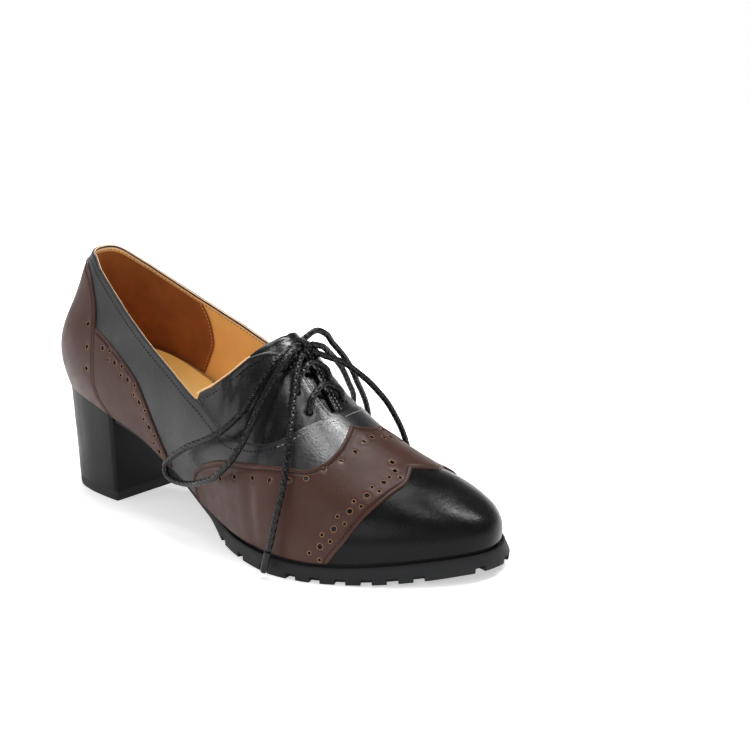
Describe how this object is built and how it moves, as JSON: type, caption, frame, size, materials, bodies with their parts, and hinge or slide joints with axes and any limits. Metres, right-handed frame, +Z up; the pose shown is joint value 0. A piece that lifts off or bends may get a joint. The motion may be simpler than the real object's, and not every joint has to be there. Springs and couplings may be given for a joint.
{
  "type": "laced block heel pump",
  "caption": "Two-tone lace-up pump with a wing vamp, heel overlays, a chunky block heel and a lug outsole; the collar and throat are open for a foot.",
  "frame": {"origin": "on the floor, under the middle of the shoe's plan box measured without its loose lace", "axes": "+X from heel to toe, +Y to the medial (inner) side of the foot, +Z up"},
  "size_m": [0.2428, 0.1002, 0.1144],
  "materials": {
    "black_leather": "satin",
    "gloss_leather": "gloss",
    "brown_leather": "satin",
    "tan_leather": "matte",
    "rubber": "matte",
    "heel_lacquer": "satin",
    "lace": "matte",
    "aglet": "satin"
  },
  "bodies": {
    "root": {"upper": "black_leather", "facing": "gloss_leather", "tongue": "black_leather", "vamp_panel": "brown_leather", "backstay": "brown_leather", "counter_lateral": "brown_leather", "counter_medial": "brown_leather", "insole": "tan_leather", "outsole": "rubber", "heel": "heel_lacquer", "heel_top_piece": "rubber", "lace_bar_1": "lace", "lace_bar_2": "lace", "lace_tie_lateral": "lace", "lace_tie_medial": "lace", "lace_knot": "lace", "lace_loop_lateral": "lace", "lace_loop_medial": "lace", "lace_end_lateral": "lace", "lace_end_medial": "lace", "aglet_lateral": "aglet", "aglet_medial": "aglet"}
  },
  "joints": []
}
